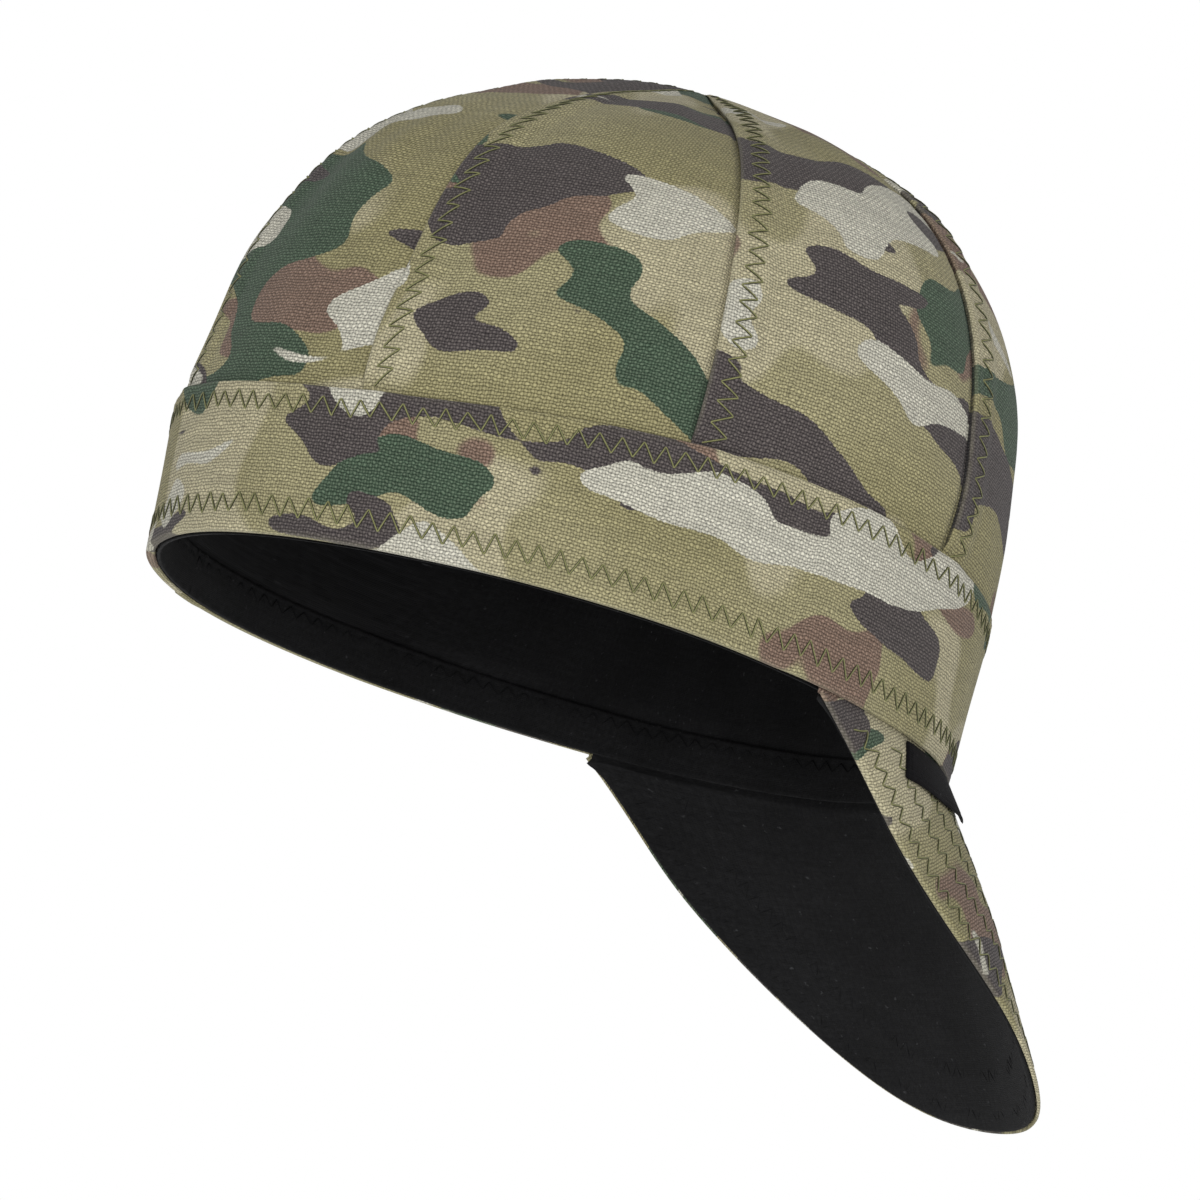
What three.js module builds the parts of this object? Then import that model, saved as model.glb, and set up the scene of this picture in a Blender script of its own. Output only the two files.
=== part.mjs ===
// A welder's cap: a crown of eight cloth panels, a headband, a short soft bill that hangs forward,
// a dark lining with a hem along the rim, and a small bare label tab.
// Millimetres, +Z up. The origin is the middle of the rim's oval, where the head goes in.
// The bill points to -Y, and the wearer's right side is -X.
import * as THREE from 'three';

// Rim: the outer face of the headband at its lower edge
const rimLength = 208;
const rimWidth = 163.5;

// Headband
const bandTopLength = 214;
const bandTopWidth = 159.5;
const bandHeight = 42;
const bandThickness = 1.0;
const bandReturnHeight = 1.2;

// Crown
const crownHeight = 158.5;
const crownApexForward = 2;
const panelThickness = 1.0;
const panelBulge = 2.2;
const panelTipRadius = 1.3;
// How far the panels' lower edges end above the rim, inside the headband
const panelHemLift = 3.0;

// Lining and the hem inside the rim
const liningThickness = 1.0;
const hemThickness = 1.4;
const hemHeight = 12;

// Bill: its edge starts at the corners and runs round the tip
const billCornerAngle = 67.3;
const billHalfWidth = 75.5;
const billReach = 108;
const billDrop = 75.5;
const billClothThickness = 1.0;
const billBulge = 1.0;
// How far the bill's outer cloth is tucked up behind the headband, and where it turns outward below it
const billTuck = 1.5;
const billTurnDrop = 0.5;
// How far the under cloth's edge stays inside the outer cloth's edge
const underInset = 0.8;
const underStart = 0.2;
// Columns of the outer cloth, at each corner, that the under cloth leaves out
const underEndColumns = 2;

// Label tab, between these oval angles on the wearer's right
const labelFrontAngle = 22;
const labelBackAngle = 47.5;
const labelDrop = 10.5;
const labelThickness = 0.8;
const labelStart = 0.9;
// How far the label's loose front corner stands off the bill
const labelLift = 1.6;

// Gap between touching pieces
const gap = 0.3;

// Oval angles of the seams in degrees, from the middle of the front to the middle of the back
const seamAngles = { front: 0, frontSide: 50, side: 93.5, backSide: 137, back: 180 };

// Heights of the headband's two edges at the seams, as shares of its height above the origin
const edgeLines = {
  rim: { front: -0.045, frontSide: -0.020, side: 0.022, backSide: 0.026, back: 0.046 },
  bandTop: { front: 0.940, frontSide: 1.050, side: 1.035, backSide: 0.885, back: 0.920 },
};

// Crown sections: height above the band as a share of the crown's, and each seam's distance from the
// crown's axis as a share of its distance at the band's top edge
const crownSections = [
  { height: 0.000, front: 1.000, frontSide: 1.000, side: 1.000, backSide: 1.000, back: 1.000 },
  { height: 0.140, front: 0.983, frontSide: 1.018, side: 1.027, backSide: 0.992, back: 0.976 },
  { height: 0.280, front: 0.968, frontSide: 1.000, side: 1.007, backSide: 0.952, back: 0.950 },
  { height: 0.420, front: 0.940, frontSide: 0.968, side: 0.950, backSide: 0.905, back: 0.902 },
  { height: 0.560, front: 0.873, frontSide: 0.906, side: 0.854, backSide: 0.824, back: 0.821 },
  { height: 0.690, front: 0.750, frontSide: 0.805, side: 0.711, backSide: 0.681, back: 0.701 },
  { height: 0.800, front: 0.596, frontSide: 0.638, side: 0.504, backSide: 0.482, back: 0.526 },
  { height: 0.890, front: 0.402, frontSide: 0.402, side: 0.276, backSide: 0.280, back: 0.346 },
  { height: 0.955, front: 0.193, frontSide: 0.184, side: 0.112, backSide: 0.122, back: 0.176 },
  { height: 1.000, front: 0.000, frontSide: 0.000, side: 0.000, backSide: 0.000, back: 0.000 },
];

// Bill edge from a corner to the tip: shares of the half width, the reach forward and the drop
const billEdgeSections = [
  { across: 1.000, forward: 0.000, drop: 0.000 },
  { across: 0.956, forward: 0.155, drop: 0.204 },
  { across: 0.914, forward: 0.300, drop: 0.388 },
  { across: 0.845, forward: 0.488, drop: 0.576 },
  { across: 0.724, forward: 0.706, drop: 0.770 },
  { across: 0.438, forward: 0.909, drop: 0.948 },
  { across: 0.000, forward: 1.000, drop: 1.000 },
];

// Mesh fineness
const columnsPerPanel = 6;
const crownRows = 13;
const billRows = 5;
const labelColumns = 9;
const labelRows = 3;

const seamNames = ['front', 'frontSide', 'side', 'backSide', 'back'];
const radians = THREE.MathUtils.degToRad;

// The seams all round, from the front over the wearer's right to the back and on to the front again
function seamsAllRound() {
  const right = seamNames.map((name) => ({ name, angle: seamAngles[name] }));
  const left = seamNames.slice(1, -1).reverse().map((name) => ({ name, angle: 360 - seamAngles[name] }));
  return [...right, ...left];
}
const seams = seamsAllRound();

// Ovals

function ovalPoint(length, width, angle, z, inset = 0) {
  const turn = radians(angle);
  const halfLength = length / 2;
  const halfWidth = width / 2;
  const outward = new THREE.Vector2(-Math.sin(turn) / halfWidth, -Math.cos(turn) / halfLength).normalize();
  const x = -halfWidth * Math.sin(turn) - inset * outward.x;
  const y = -halfLength * Math.cos(turn) - inset * outward.y;
  return new THREE.Vector3(x, y, z);
}

function rimZ(angle) {
  return bandHeight * shareAround(seams.map((seam) => edgeLines.rim[seam.name]), angle);
}

function bandTopZ(angle) {
  return bandHeight * shareAround(seams.map((seam) => edgeLines.bandTop[seam.name]), angle);
}

function rimPoint(angle, inset, lift) {
  return ovalPoint(rimLength, rimWidth, angle, rimZ(angle) + lift, inset);
}

// A point on the band's wall: share 0 at the rim, 1 at the band's top edge
function bandPoint(angle, share, inset) {
  const low = ovalPoint(rimLength, rimWidth, angle, rimZ(angle), inset);
  const high = ovalPoint(bandTopLength, bandTopWidth, angle, bandTopZ(angle), inset);
  return low.lerp(high, share);
}

function bandShareAt(angle, lift) {
  return lift / (bandTopZ(angle) - rimZ(angle));
}

// Curve through evenly numbered values

function catmull(values, position) {
  const last = values.length - 1;
  const index = Math.min(Math.floor(position), last - 1);
  const t = position - index;
  const before = values[Math.max(index - 1, 0)];
  const start = values[index];
  const end = values[index + 1];
  const after = values[Math.min(index + 2, last)];
  const linear = end - before;
  const square = 2 * before - 5 * start + 4 * end - after;
  const cube = 3 * start - before - 3 * end + after;
  return 0.5 * (2 * start + linear * t + square * t * t + cube * t * t * t);
}

// Periodic cubic between shares given at the seams, so that what follows them is smooth all round
function shareAround(sharesAtSeams, angle) {
  const count = seams.length;
  const turned = ((angle % 360) + 360) % 360;
  const at = (k) => seams[((k % count) + count) % count].angle + 360 * Math.floor(k / count);
  const share = (k) => sharesAtSeams[((k % count) + count) % count];
  let k = 0;
  while (k < count - 1 && at(k + 1) <= turned) k += 1;
  const span = at(k + 1) - at(k);
  const t = (turned - at(k)) / span;
  const slopeStart = (share(k + 1) - share(k - 1)) / (at(k + 1) - at(k - 1)) * span;
  const slopeEnd = (share(k + 2) - share(k)) / (at(k + 2) - at(k)) * span;
  const t2 = t * t;
  const t3 = t2 * t;
  return (2 * t3 - 3 * t2 + 1) * share(k) + (t3 - 2 * t2 + t) * slopeStart
    + (3 * t2 - 2 * t3) * share(k + 1) + (t3 - t2) * slopeEnd;
}

// Crown

const panelInset = bandThickness + gap;
const liningInset = panelInset + panelThickness + gap;

// How far an angle is between its two seams, 0 at a seam and 1 in the middle of the panel
function middleOfPanel(angle) {
  const turned = ((angle % 360) + 360) % 360;
  const after = seams.findIndex((seam) => seam.angle > turned + 1e-9);
  const start = seams[(after === -1 ? seams.length : after) - 1].angle;
  const end = after === -1 ? 360 : seams[after].angle;
  return Math.sin(Math.PI * (turned - start) / (end - start));
}

// The crown's outer face without the panels' bulge: row 0 at the band's top edge, the last row at the apex
function crownBase(angle, row) {
  const apex = new THREE.Vector3(0, -crownApexForward, crownHeight);
  const foot = bandPoint(angle, 1, panelInset);
  const share = (name) => catmull(crownSections.map((section) => section[name]), row);
  const spread = shareAround(seams.map((seam) => share(seam.name)), angle);
  const height = catmull(crownSections.map((section) => section.height), row);
  const x = apex.x + (foot.x - apex.x) * spread;
  const y = apex.y + (foot.y - apex.y) * spread;
  return new THREE.Vector3(x, y, foot.z + (apex.z - foot.z) * height);
}

function crownNormal(angle, row) {
  const angleStep = 2;
  const rowStep = 0.05;
  const lastRow = crownSections.length - 1;
  const around = crownBase(angle + angleStep, row).sub(crownBase(angle - angleStep, row));
  const lower = crownBase(angle, Math.max(row - rowStep, 0));
  const up = crownBase(angle, Math.min(row + rowStep, lastRow)).sub(lower);
  const normal = new THREE.Vector3().crossVectors(up, around);
  return normal.normalize();
}

function crownPoint(angle, row, depth) {
  const lastRow = crownSections.length - 1;
  const bulge = panelBulge * middleOfPanel(angle) * Math.sin(Math.PI * row / lastRow) ** 0.7;
  return crownBase(angle, row).addScaledVector(crownNormal(angle, row), bulge - depth);
}

// Rows up the crown, down to where the panels would be narrower than their blunt tips
function crownRowPositions() {
  const lastRow = crownSections.length - 1;
  const axis = new THREE.Vector2(0, -crownApexForward);
  const tooFar = (row) => {
    const point = crownBase(seamAngles.side, row);
    return Math.hypot(point.x - axis.x, point.y - axis.y) > panelTipRadius;
  };
  let low = lastRow - 1;
  let high = lastRow;
  for (let step = 0; step < 30; step += 1) {
    const middle = (low + high) / 2;
    if (tooFar(middle)) low = middle;
    else high = middle;
  }
  return Array.from({ length: crownRows + 1 }, (_, i) => low * i / crownRows);
}

// Solids swept through closed loops of points, one loop for each column. A loop's first half climbs one
// face and its second half comes back down the other, and both faces are split along the same diagonals.

function sweptSolid(loops, closed) {
  const positions = [];
  const known = new Map();
  const indexOf = (point) => {
    const key = [point.x, point.y, point.z].map((value) => value.toFixed(4)).join();
    if (!known.has(key)) {
      known.set(key, positions.length / 3);
      positions.push(point.x, point.y, point.z);
    }
    return known.get(key);
  };
  const columns = loops.map((loop) => loop.map(indexOf));
  const triangles = [];
  const addTriangle = (a, b, c) => {
    if (a !== b && b !== c && c !== a) triangles.push(a, b, c);
  };
  const size = loops[0].length;
  const spans = closed ? columns.length : columns.length - 1;
  for (let column = 0; column < spans; column += 1) {
    const near = columns[column];
    const far = columns[(column + 1) % columns.length];
    for (let k = 0; k < size; k += 1) {
      const next = (k + 1) % size;
      if (k < size / 2) {
        addTriangle(near[k], near[next], far[next]);
        addTriangle(near[k], far[next], far[k]);
      } else {
        addTriangle(near[k], near[next], far[k]);
        addTriangle(near[next], far[next], far[k]);
      }
    }
  }
  if (!closed) {
    const first = columns[0];
    const last = columns[columns.length - 1];
    for (let k = 0; k < size / 2 - 1; k += 1) {
      const other = size - 1 - k;
      addTriangle(first[k + 1], first[k], first[other]);
      addTriangle(first[k + 1], first[other], first[other - 1]);
      addTriangle(last[k], last[k + 1], last[other]);
      addTriangle(last[k + 1], last[other - 1], last[other]);
    }
  }
  if (signedVolume(positions, triangles) < 0) triangles.reverse();
  const geometry = new THREE.BufferGeometry();
  geometry.setAttribute('position', new THREE.Float32BufferAttribute(positions, 3));
  geometry.setIndex(triangles);
  geometry.computeVertexNormals();
  return geometry;
}

function signedVolume(positions, triangles) {
  const corner = (index) => new THREE.Vector3().fromArray(positions, index * 3);
  let volume = 0;
  for (let i = 0; i < triangles.length; i += 3) {
    const [a, b, c] = [corner(triangles[i]), corner(triangles[i + 1]), corner(triangles[i + 2])];
    volume += a.dot(b.cross(c)) / 6;
  }
  return volume;
}

function shares(count) {
  return Array.from({ length: count + 1 }, (_, i) => i / count);
}

// Column angles shared by all the pieces round the rim, so that their flat faces stay parallel
function ringAngles() {
  const angles = seams.flatMap((seam, i) => {
    const end = i + 1 < seams.length ? seams[i + 1].angle : 360;
    return shares(columnsPerPanel).slice(0, -1).map((share) => seam.angle + (end - seam.angle) * share);
  });
  const corners = [billCornerAngle, 360 - billCornerAngle];
  return [...new Set([...angles, ...corners])].sort((a, b) => a - b);
}

function panelAngles(panel) {
  const start = seams[panel].angle;
  const end = panel + 1 < seams.length ? seams[panel + 1].angle : 360;
  return [...ringAngles().filter((angle) => angle >= start && angle < end), end];
}

// Crown panels

const crownLevels = crownRowPositions();

function panelColumn(angle, depth) {
  const foot = bandPoint(angle, bandShareAt(angle, panelHemLift), panelInset + depth);
  return [foot, ...crownLevels.map((row) => crownPoint(angle, row, depth))];
}

// Moves an edge column off the seam, toward the panel's next column
function offSeam(edge, neighbour) {
  return edge.map((point, i) => {
    const inward = neighbour[i].clone().sub(point).normalize();
    return point.clone().addScaledVector(inward, gap / 2);
  });
}

function crownPanel(panel) {
  const angles = panelAngles(panel);
  const layer = (depth) => {
    const columns = angles.map((angle) => panelColumn(angle, depth));
    const last = columns.length - 1;
    const first = offSeam(columns[0], columns[1]);
    const end = offSeam(columns[last], columns[last - 1]);
    return [first, ...columns.slice(1, last), end];
  };
  const outer = layer(0);
  const inner = layer(panelThickness);
  return sweptSolid(outer.map((column, i) => [...column, ...inner[i].slice().reverse()]), false);
}

// Headband, with a narrow return under the rim where no bill is sewn in

function bandReturn(angle) {
  const fromFront = Math.min(angle, 360 - angle);
  const behindBill = fromFront > billCornerAngle + 360 / (seams.length * columnsPerPanel);
  return behindBill ? panelInset + panelThickness : bandThickness;
}

function headband() {
  const loops = ringAngles().map((angle) => {
    const returnShare = bandShareAt(angle, bandReturnHeight);
    const outer = [0, 0.5, 1].map((share) => bandPoint(angle, share, 0));
    const inner = [1, 0.5, returnShare].map((share) => bandPoint(angle, share, bandThickness));
    const lip = [returnShare, 0].map((share) => bandPoint(angle, share, bandReturn(angle)));
    return [...outer, ...inner, ...lip];
  });
  return sweptSolid(loops, true);
}

// Lining: from the top of the hem up to a closed crown

function crownLining() {
  const capRow = crownLevels[crownLevels.length - 1];
  const capZ = (depth) => crownPoint(seamAngles.side, capRow, depth).z;
  const column = (angle, depth) => {
    const footShare = bandShareAt(angle, hemHeight + gap);
    const foot = bandPoint(angle, footShare, panelInset + depth);
    const rows = crownLevels.map((row) => crownPoint(angle, row, depth));
    const centre = new THREE.Vector3(0, -crownApexForward, capZ(depth));
    return [foot, ...rows, centre];
  };
  const outerDepth = liningInset - panelInset;
  const loops = ringAngles().map((angle) => [
    ...column(angle, outerDepth),
    ...column(angle, outerDepth + liningThickness).reverse(),
  ]);
  return sweptSolid(loops, true);
}

function rimHem() {
  const loops = ringAngles().map((angle) => {
    const top = bandShareAt(angle, hemHeight);
    const outer = [0, top].map((share) => bandPoint(angle, share, liningInset));
    const inner = [top, 0].map((share) => bandPoint(angle, share, liningInset + hemThickness));
    return [...outer, ...inner];
  });
  return sweptSolid(loops, true);
}

// Bill

// Oval angles of the bill's columns, 0 at the front and positive on the wearer's right: the ring's own and
// one more between each two, so that the edge is rounder
function billAngles() {
  const ring = ringAngles().filter((angle) => angle <= billCornerAngle);
  const right = ring.slice(1).flatMap((angle, i) => [(ring[i] + angle) / 2, angle]);
  return [...right.slice().reverse().map((angle) => -angle), 0, ...right];
}

// A point under the rim on the ring's flat faces, so that the bill keeps its gap to the headband
function ringPoint(angle, inset, lift) {
  const turned = Math.abs(angle);
  const ring = ringAngles();
  const next = ring.findIndex((ringAngle) => ringAngle > turned);
  const share = (turned - ring[next - 1]) / (ring[next] - ring[next - 1]);
  const low = rimPoint(ring[next - 1], inset, lift);
  const point = low.lerp(rimPoint(ring[next], inset, lift), share);
  point.x *= angle < 0 ? -1 : 1;
  return point;
}

function billEdgePoint(angle) {
  const steps = billEdgeSections.length - 1;
  const position = steps * (1 - Math.abs(angle) / billCornerAngle);
  const column = (name) => catmull(billEdgeSections.map((section) => section[name]), position);
  const corner = rimPoint(billCornerAngle, 0, -billTurnDrop);
  const x = -Math.sign(angle) * billHalfWidth * column('across');
  return new THREE.Vector3(x, corner.y - billReach * column('forward'), corner.z - billDrop * column('drop'));
}

// The bill's outer face: share 0 just below the headband, 1 at the edge
function billFace(angle, share) {
  const root = ringPoint(angle, panelInset, -billTurnDrop);
  return root.lerp(billEdgePoint(angle), share);
}

function billNormal(angle, share) {
  const angleStep = 1;
  const limit = billCornerAngle - angleStep;
  const held = Math.max(-limit, Math.min(limit, angle));
  const around = billFace(held + angleStep, share).sub(billFace(held - angleStep, share));
  const down = billFace(held, 1).sub(billFace(held, 0));
  return new THREE.Vector3().crossVectors(around, down).normalize();
}

function billPoint(angle, share, depth) {
  const fade = 1 - (angle / billCornerAngle) ** 2;
  const bulge = billBulge * fade * Math.sin(Math.PI * share);
  return billFace(angle, share).addScaledVector(billNormal(angle, share), bulge - depth);
}

function billLength(angle) {
  return billFace(angle, 0).distanceTo(billFace(angle, 1));
}

function billUpper() {
  const column = (angle, depth) => {
    const tucked = ringPoint(angle, panelInset + depth, billTuck);
    return [tucked, ...shares(billRows).map((share) => billPoint(angle, share, depth))];
  };
  const loops = billAngles().map((angle) => [
    ...column(angle, 0),
    ...column(angle, billClothThickness).reverse(),
  ]);
  return sweptSolid(loops, false);
}

function billUnder() {
  const outerDepth = billClothThickness + gap;
  const column = (angle, depth) => {
    const start = underStart / billLength(angle);
    const end = 1 - underInset / billLength(angle);
    const rows = [start, ...shares(billRows).slice(1, -1), end];
    return rows.map((share) => billPoint(angle, share, depth));
  };
  const loops = billAngles().slice(underEndColumns, -underEndColumns).map((angle) => [
    ...column(angle, outerDepth),
    ...column(angle, outerDepth + billClothThickness).reverse(),
  ]);
  return sweptSolid(loops, false);
}

// Label tab: a bare strip that hangs from the headband's lower edge over the bill

function labelTab() {
  const span = labelFrontAngle - labelBackAngle;
  const angles = shares(labelColumns - 1).map((share) => labelBackAngle + span * share);
  const column = (angle, frontShare, outward) => shares(labelRows - 1).map((share) => {
    const along = (labelStart + labelDrop * share) / billLength(angle);
    const lift = labelLift * frontShare * share;
    return billPoint(angle, along, -(gap + lift + outward));
  });
  const loops = angles.map((angle, i) => {
    const frontShare = i / (angles.length - 1);
    return [
      ...column(angle, frontShare, labelThickness),
      ...column(angle, frontShare, 0).reverse(),
    ];
  });
  return sweptSolid(loops, false);
}

// Materials

function cloth(colour, roughness) {
  return new THREE.MeshStandardMaterial({ color: colour, roughness, metalness: 0 });
}

const khakiCanvas = cloth(0x8c8463, 0.9);
const bandCanvas = cloth(0x5d6b4a, 0.9);
const blackCloth = cloth(0x17171a, 0.85);
const labelCloth = cloth(0x202022, 0.8);

// Assembly

function named(name, geometry, material) {
  const mesh = new THREE.Mesh(geometry, material);
  mesh.name = name;
  return mesh;
}

const cap = new THREE.Group();
seams.forEach((_, panel) => cap.add(named(`crown_panel_${panel + 1}`, crownPanel(panel), khakiCanvas)));
cap.add(named('headband', headband(), bandCanvas));
cap.add(named('crown_lining', crownLining(), blackCloth));
cap.add(named('rim_hem', rimHem(), blackCloth));
cap.add(named('bill_upper', billUpper(), bandCanvas));
cap.add(named('bill_under', billUnder(), blackCloth));
cap.add(named('label_tab', labelTab(), labelCloth));

export default cap;
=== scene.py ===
"""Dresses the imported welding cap: canvas, lining, hem, bill, label tab and stitches, in one Blender scene.

Lengths in the shape functions are millimetres, in the frame of the CAD model: +Z up, -Y forward to the
bill. Oval angles are degrees from the middle of the front (0) over the wearer's right (90) to the back (180).
"""

import bmesh
import bpy
import numpy as np
from mathutils import Matrix, Vector


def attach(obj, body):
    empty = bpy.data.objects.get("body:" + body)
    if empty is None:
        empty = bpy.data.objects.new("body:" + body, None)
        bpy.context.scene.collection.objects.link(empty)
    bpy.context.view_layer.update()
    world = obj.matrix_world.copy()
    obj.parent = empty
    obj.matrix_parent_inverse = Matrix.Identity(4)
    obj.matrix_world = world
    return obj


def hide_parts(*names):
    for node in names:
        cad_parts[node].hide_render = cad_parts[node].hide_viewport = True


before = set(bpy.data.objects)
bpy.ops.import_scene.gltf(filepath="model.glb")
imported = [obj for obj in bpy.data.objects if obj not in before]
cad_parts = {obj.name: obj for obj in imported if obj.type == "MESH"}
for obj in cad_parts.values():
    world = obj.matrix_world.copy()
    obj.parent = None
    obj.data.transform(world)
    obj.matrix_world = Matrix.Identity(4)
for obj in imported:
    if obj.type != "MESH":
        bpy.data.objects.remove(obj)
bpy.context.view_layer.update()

MM = 0.001

# The cap's form, as the CAD source has it
RIM_LENGTH, RIM_WIDTH = 208.0, 163.5
BAND_TOP_LENGTH, BAND_TOP_WIDTH = 214.0, 159.5
BAND_HEIGHT = 42.0
CROWN_HEIGHT = 158.5
APEX_FORWARD = 2.0
PANEL_INSET = 1.3
LINING_INSET = 2.6
LINING_TUCK = 3.0
PANEL_BULGE = 2.2
PANEL_FOOT = 3.0
HEM_HEIGHT = 12.0
BILL_CORNER = 67.3
BILL_HALF_WIDTH = 75.5
BILL_REACH = 108.0
BILL_DROP = 75.5
BILL_BULGE = 1.0
BILL_TUCK = 1.5
BILL_TURN_DROP = 0.5
LABEL_FRONT, LABEL_BACK = 22.0, 47.5
LABEL_START, LABEL_DROP, LABEL_LIFT = 0.9, 10.5, 0.5

SEAMS = np.array([0, 50, 93.5, 137, 180, 223, 266.5, 310])
RIM_LINE = (-0.045, -0.020, 0.022, 0.026, 0.046)
BAND_TOP_LINE = (0.940, 1.050, 1.035, 0.885, 0.920)
CROWN_SECTIONS = np.array([
    # height, then the share of the band's distance at the front, front side, side, back side and back
    (0.000, 1.000, 1.000, 1.000, 1.000, 1.000),
    (0.140, 0.983, 1.018, 1.027, 0.992, 0.976),
    (0.280, 0.968, 1.000, 1.007, 0.952, 0.950),
    (0.420, 0.940, 0.968, 0.950, 0.905, 0.902),
    (0.560, 0.873, 0.906, 0.854, 0.824, 0.821),
    (0.690, 0.750, 0.805, 0.711, 0.681, 0.701),
    (0.800, 0.596, 0.638, 0.504, 0.482, 0.526),
    (0.890, 0.402, 0.402, 0.276, 0.280, 0.346),
    (0.955, 0.193, 0.184, 0.112, 0.122, 0.176),
    (1.000, 0.000, 0.000, 0.000, 0.000, 0.000),
])
LAST_ROW = len(CROWN_SECTIONS) - 1
BILL_SECTIONS = np.array([
    # across, forward and drop as shares, from a corner to the tip
    (1.000, 0.000, 0.000),
    (0.956, 0.155, 0.204),
    (0.914, 0.300, 0.388),
    (0.845, 0.488, 0.576),
    (0.724, 0.706, 0.770),
    (0.438, 0.909, 0.948),
    (0.000, 1.000, 1.000),
])

# Cloth and sewing
CANVAS_THICKNESS = 0.6
LINING_THICKNESS = 0.5
FOLD_HEIGHT = 1.25
FOLD_WIDTH = 9.5
FOLD_RADIUS = 0.58
THREAD_RADIUS = 0.28
UNDER_THREAD_RADIUS = 0.12
HEM_THREAD_RADIUS = 0.14
THREAD_SIDES = 6
# Rings along a stitch's leg, and how many radii each lies above the cloth
LEG_SHARES = np.array([0, 0.07, 0.2, 0.4, 0.6, 0.8, 0.93, 1.0])
LEG_LIFT = np.array([-1.2, -0.3, 0.1, 0.22, 0.22, 0.1, -0.3, -1.2])
ZIGZAG_PITCH = 5.0
SEAM_ZIGZAG = (2.7, 7.4)
LAP_ANGLE = 214.0
# How far along its pitch each seam's zigzag turns
SEAM_SLANTS = (0.5, 0.42, 0.9, 0.6, 0.4, 0.8, 0.5, 0.3)
BAND_TOP_ZIGZAG = (2.4, 6.8)
BAND_LOW_ZIGZAG = (4.1, 9.0)
BILL_ZIGZAG_ROWS = (3.2, 13.2, 23.5, 34.0, 45.0, 57.0)
BILL_ZIGZAG_WIDTH = 4.2

NOISE_WAVES = 14

# Where each piece's cut lies on the cloth, in millimetres along its threads
PANEL_ON_CLOTH = np.array([137.0, 211.0])
BAND_ON_CLOTH = (53.0, 1403.0)
HEM_ON_CLOTH = (19.0, 303.0)
BILL_ON_CLOTH = (907.0, 733.0)
BILL_UNDER_ON_CLOTH = (0.0, 503.0)

# The weave's thread spacings in metres, and the print: its ground, then each layer's noise scale, cover,
# stretch, bend, softness and display colour
CANVAS_PITCH = (0.00073, 0.00078)
PRINT_GROUND = (165, 158, 120)
PRINT_LAYERS = (
    (14.0, 0.500, (1.00, 1.00), 0.000, 0.1400, (153, 146, 105)),
    (21.0, 0.610, (1.00, 0.80), 0.010, 0.0300, (188, 180, 148)),
    (30.0, 0.695, (0.80, 1.10), 0.010, 0.0120, (132, 108, 94)),
    (25.0, 0.672, (0.75, 1.15), 0.011, 0.0022, (68, 90, 71)),
    (32.0, 0.635, (0.60, 1.30), 0.010, 0.0022, (80, 73, 74)),
    (28.0, 0.668, (0.70, 1.20), 0.011, 0.0022, (207, 204, 189)),
)
WEAVE_OUTPUTS = ("Height", "Gap", "Tone", "Warp")

# Soft wrinkles in the crown: panel, share across it, first and last row, half width, depth, lean
WRINKLES = (
    (3, 0.30, 2.6, 7.6, 5.0, 0.9, 0.030),
    (3, 0.52, 3.4, 7.8, 4.2, 1.0, 0.020),
    (3, 0.72, 2.0, 6.8, 4.6, 0.8, 0.010),
    (3, 0.88, 4.0, 8.0, 3.6, 0.7, 0.000),
    (2, 0.16, 5.4, 8.3, 4.0, 0.6, -0.020),
    (2, 0.66, 0.4, 3.0, 5.5, 0.5, 0.030),
    (1, 0.30, 0.2, 3.2, 6.0, 0.5, -0.020),
    (1, 0.62, 4.5, 8.0, 5.0, 0.6, 0.020),
    (0, 0.40, 1.0, 5.0, 6.0, 0.6, 0.020),
    (4, 0.35, 2.2, 7.2, 5.0, 0.8, -0.030),
    (4, 0.70, 0.6, 4.6, 4.6, 0.6, 0.020),
    (5, 0.45, 3.0, 7.6, 5.2, 0.7, 0.020),
    (6, 0.30, 0.8, 5.2, 5.4, 0.6, -0.020),
    (6, 0.70, 3.6, 7.8, 4.4, 0.7, 0.010),
    (7, 0.55, 0.6, 4.4, 6.0, 0.5, 0.020),
)


# Curves

def slope_matrix(knots, period=None):
    """The matrix that gives a cubic spline's slopes at its knots from the values there."""
    system, right = np.zeros((2, len(knots), len(knots)))
    steps = np.diff(knots if period is None else np.append(knots, knots[0] + period))
    for start, step in enumerate(steps):
        end = (start + 1) % len(knots)
        for knot, other in ((start, end), (end, start)):
            system[knot, knot] += 2 / step
            system[knot, other] += 1 / step
            right[knot, end] += 3 / step**2
            right[knot, start] -= 3 / step**2
    return np.linalg.solve(system, right)


def hermite(knots, values, slopes, at):
    """The spline at the places at. Values and slopes may differ between places, after the first axis."""
    index = np.clip(np.searchsorted(knots, at, side="right") - 1, 0, len(knots) - 2)
    step = knots[index + 1] - knots[index]
    t = (at - knots[index]) / step

    def pick(table, i):
        return table[i] if table.ndim == 1 else np.take_along_axis(table, i[None], 0)[0]

    return (
        (2 * t**3 - 3 * t**2 + 1) * pick(values, index) + (t**3 - 2 * t**2 + t) * step * pick(slopes, index)
        + (3 * t**2 - 2 * t**3) * pick(values, index + 1) + (t**3 - t**2) * step * pick(slopes, index + 1)
    )


SEAM_SLOPES = slope_matrix(SEAMS, 360.0)
SEAM_KNOTS = np.append(SEAMS, 360.0)
ROW_KNOTS = np.arange(LAST_ROW + 1.0)
ROW_SLOPES = slope_matrix(ROW_KNOTS)


def all_round(values):
    """Values at the five seams from front to back, mirrored to the wearer's left."""
    return np.concatenate([values, values[-2:0:-1]])


def around(values, angle):
    """A smooth curve round the cap through the eight values at the seams."""
    slopes = np.tensordot(SEAM_SLOPES, values, 1)
    closed = np.concatenate([values, values[:1]]), np.concatenate([slopes, slopes[:1]])
    return hermite(SEAM_KNOTS, *closed, np.mod(angle, 360.0))


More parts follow.
